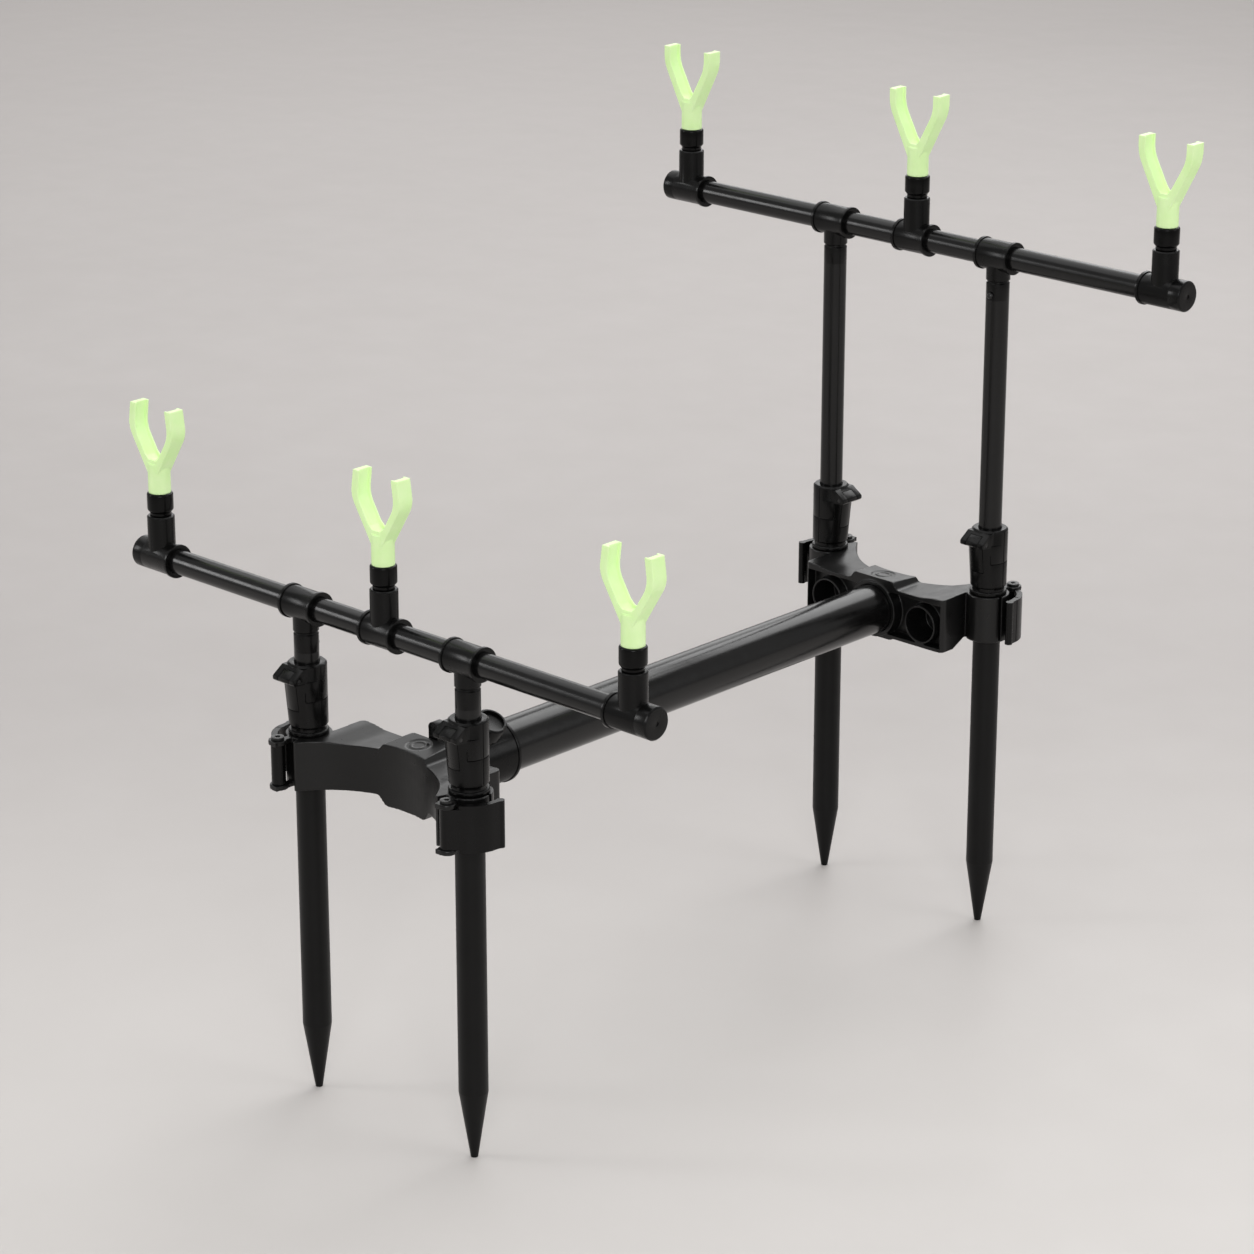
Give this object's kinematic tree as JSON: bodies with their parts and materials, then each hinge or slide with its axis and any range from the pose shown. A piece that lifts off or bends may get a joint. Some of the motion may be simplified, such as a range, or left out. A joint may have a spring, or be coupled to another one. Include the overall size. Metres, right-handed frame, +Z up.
{
  "type": "rod pod",
  "caption": "Fishing rod pod: low and high cross bars with forked rod rests on telescopic spiked legs, joined by a telescopic centre tube.",
  "frame": {"origin": "on the ground, midway between the four spikes", "axes": "+X along the cross bars to the right, +Y from the low front bar to the high rear bar, +Z up"},
  "size_m": [0.4636, 0.564, 0.5919],
  "materials": {
    "black_plastic": "fine satin moulding texture",
    "gloss_black": "semi-gloss moulded",
    "black_tube": "black coated, semi-gloss",
    "black_steel": "blackened steel",
    "lime_plastic": "pale luminous green, slightly translucent"
  },
  "bodies": {
    "rear_frame": {"center_tube": "black_tube", "rear_shoulder": "black_plastic", "tube_collar": "black_plastic", "rear_clamp_pins": "black_steel"},
    "front_frame": {"front_shoulder": "black_plastic", "inner_tube": "black_tube", "front_clamp_pins": "black_steel"},
    "knob": {"collar_knob": "black_plastic", "knob_screw": "black_steel"},
    "front_left_leg": {"front_left_leg_tube": "black_tube", "front_left_leg_spike": "black_tube", "front_left_lock_body": "black_plastic", "front_left_lock_pin": "black_steel"},
    "front_right_leg": {"front_right_leg_tube": "black_tube", "front_right_leg_spike": "black_tube", "front_right_lock_body": "black_plastic", "front_right_lock_pin": "black_steel"},
    "front_left_clamp_lever": {"front_left_clamp_lever": "black_plastic"},
    "front_right_clamp_lever": {"front_right_clamp_lever": "black_plastic"},
    "front_left_lock_lever": {"front_left_lock_lever": "black_plastic"},
    "front_right_lock_lever": {"front_right_lock_lever": "black_plastic"},
    "front_bar": {"front_bar_tube": "black_tube", "front_end_tees": "black_plastic", "front_mid_tee": "black_plastic", "front_upright_tees": "black_plastic", "front_end_caps": "gloss_black", "front_rest_nuts": "gloss_black", "front_uprights": "black_tube", "front_ferrules": "black_plastic"},
    "front_left_snap_button": {"front_left_snap_button": "black_steel"},
    "front_right_snap_button": {"front_right_snap_button": "black_steel"},
    "front_left_rest": {"front_left_rest": "lime_plastic"},
    "front_mid_rest": {"front_mid_rest": "lime_plastic"},
    "front_right_rest": {"front_right_rest": "lime_plastic"},
    "rear_left_leg": {"rear_left_leg_tube": "black_tube", "rear_left_leg_spike": "black_tube", "rear_left_lock_body": "black_plastic", "rear_left_lock_pin": "black_steel"},
    "rear_right_leg": {"rear_right_leg_tube": "black_tube", "rear_right_leg_spike": "black_tube", "rear_right_lock_body": "black_plastic", "rear_right_lock_pin": "black_steel"},
    "rear_left_clamp_lever": {"rear_left_clamp_lever": "black_plastic"},
    "rear_right_clamp_lever": {"rear_right_clamp_lever": "black_plastic"},
    "rear_left_lock_lever": {"rear_left_lock_lever": "black_plastic"},
    "rear_right_lock_lever": {"rear_right_lock_lever": "black_plastic"},
    "rear_bar": {"rear_bar_tube": "black_tube", "rear_end_tees": "black_plastic", "rear_mid_tee": "black_plastic", "rear_upright_tees": "black_plastic", "rear_end_caps": "gloss_black", "rear_rest_nuts": "gloss_black", "rear_uprights": "black_tube", "rear_ferrules": "black_plastic"},
    "rear_left_snap_button": {"rear_left_snap_button": "black_steel"},
    "rear_right_snap_button": {"rear_right_snap_button": "black_steel"},
    "rear_left_rest": {"rear_left_rest": "lime_plastic"},
    "rear_mid_rest": {"rear_mid_rest": "lime_plastic"},
    "rear_right_rest": {"rear_right_rest": "lime_plastic"}
  },
  "joints": [
    {"name": "center_tube_slide", "type": "slide", "parent": "rear_frame", "child": "front_frame", "axis": [0, -1, 0], "range_m": [0, 0.26]},
    {"name": "collar_knob_turn", "type": "hinge", "parent": "rear_frame", "child": "knob", "pos_m": [0.01545, -0.1797, 0.25472], "axis": [0.515, 0, 0.8572], "range_deg": [0, 540]},
    {"name": "front_left_leg_slide", "type": "slide", "parent": "front_frame", "child": "front_left_leg", "axis": [0, 0, 1], "range_m": [0, 0.16]},
    {"name": "front_right_leg_slide", "type": "slide", "parent": "front_frame", "child": "front_right_leg", "axis": [0, 0, 1], "range_m": [0, 0.16]},
    {"name": "front_left_clamp_lever_hinge", "type": "hinge", "parent": "front_frame", "child": "front_left_clamp_lever", "pos_m": [-0.0765, -0.276, 0.2325], "axis": [0, 0, 1], "range_deg": [0, 100]},
    {"name": "front_right_clamp_lever_hinge", "type": "hinge", "parent": "front_frame", "child": "front_right_clamp_lever", "pos_m": [0.0765, -0.276, 0.2325], "axis": [0, 0, -1], "range_deg": [0, 100]},
    {"name": "front_left_lock_lever_hinge", "type": "hinge", "parent": "front_left_leg", "child": "front_left_lock_lever", "pos_m": [-0.0725, -0.2688, 0.28886], "axis": [-1, 0, 0], "range_deg": [0, 110]},
    {"name": "front_right_lock_lever_hinge", "type": "hinge", "parent": "front_right_leg", "child": "front_right_lock_lever", "pos_m": [0.0725, -0.2688, 0.28886], "axis": [-1, 0, 0], "range_deg": [0, 110]},
    {"name": "front_bar_slide", "type": "slide", "parent": "front_left_leg", "child": "front_bar", "axis": [0, 0, 1], "range_m": [-0.005, 0.17]},
    {"name": "front_left_snap_button_press", "type": "slide", "parent": "front_bar", "child": "front_left_snap_button", "axis": [0, -1, 0], "range_m": [0, 0.002], "stiffness_N_per_m": 600, "springref_m": -0.003},
    {"name": "front_right_snap_button_press", "type": "slide", "parent": "front_bar", "child": "front_right_snap_button", "axis": [0, -1, 0], "range_m": [0, 0.002], "stiffness_N_per_m": 600, "springref_m": -0.003},
    {"name": "front_left_rest_turn", "type": "hinge", "parent": "front_bar", "child": "front_left_rest", "pos_m": [-0.21, -0.253, 0.37792], "axis": [0, 0, 1], "continuous": true},
    {"name": "front_mid_rest_turn", "type": "hinge", "parent": "front_bar", "child": "front_mid_rest", "pos_m": [0, -0.253, 0.37792], "axis": [0, 0, 1], "continuous": true},
    {"name": "front_right_rest_turn", "type": "hinge", "parent": "front_bar", "child": "front_right_rest", "pos_m": [0.21, -0.253, 0.37792], "axis": [0, 0, 1], "continuous": true},
    {"name": "rear_left_leg_slide", "type": "slide", "parent": "rear_frame", "child": "rear_left_leg", "axis": [0, 0, 1], "range_m": [0, 0.16]},
    {"name": "rear_right_leg_slide", "type": "slide", "parent": "rear_frame", "child": "rear_right_leg", "axis": [0, 0, 1], "range_m": [0, 0.16]},
    {"name": "rear_left_clamp_lever_hinge", "type": "hinge", "parent": "rear_frame", "child": "rear_left_clamp_lever", "pos_m": [-0.0765, 0.276, 0.2325], "axis": [0, 0, -1], "range_deg": [0, 100]},
    {"name": "rear_right_clamp_lever_hinge", "type": "hinge", "parent": "rear_frame", "child": "rear_right_clamp_lever", "pos_m": [0.0765, 0.276, 0.2325], "axis": [0, 0, 1], "range_deg": [0, 100]},
    {"name": "rear_left_lock_lever_hinge", "type": "hinge", "parent": "rear_left_leg", "child": "rear_left_lock_lever", "pos_m": [-0.0567, 0.253, 0.28886], "axis": [0, -1, 0], "range_deg": [0, 110]},
    {"name": "rear_right_lock_lever_hinge", "type": "hinge", "parent": "rear_right_leg", "child": "rear_right_lock_lever", "pos_m": [0.0725, 0.2372, 0.28886], "axis": [-1, 0, 0], "range_deg": [0, 110]},
    {"name": "rear_bar_slide", "type": "slide", "parent": "rear_left_leg", "child": "rear_bar", "axis": [0, 0, 1], "range_m": [-0.16, 0.01]},
    {"name": "rear_left_snap_button_press", "type": "slide", "parent": "rear_bar", "child": "rear_left_snap_button", "axis": [0, -1, 0], "range_m": [0, 0.002], "stiffness_N_per_m": 600, "springref_m": -0.003},
    {"name": "rear_right_snap_button_press", "type": "slide", "parent": "rear_bar", "child": "rear_right_snap_button", "axis": [0, 1, 0], "range_m": [0, 0.002], "stiffness_N_per_m": 600, "springref_m": -0.003},
    {"name": "rear_left_rest_turn", "type": "hinge", "parent": "rear_bar", "child": "rear_left_rest", "pos_m": [-0.21, 0.253, 0.53392], "axis": [0, 0, 1], "continuous": true},
    {"name": "rear_mid_rest_turn", "type": "hinge", "parent": "rear_bar", "child": "rear_mid_rest", "pos_m": [0, 0.253, 0.53392], "axis": [0, 0, 1], "continuous": true},
    {"name": "rear_right_rest_turn", "type": "hinge", "parent": "rear_bar", "child": "rear_right_rest", "pos_m": [0.21, 0.253, 0.53392], "axis": [0, 0, 1], "continuous": true}
  ],
  "couplings": [
    {"joint": "front_right_leg_slide", "follows": "front_left_leg_slide", "ratio": 1},
    {"joint": "rear_right_leg_slide", "follows": "rear_left_leg_slide", "ratio": 1}
  ]
}
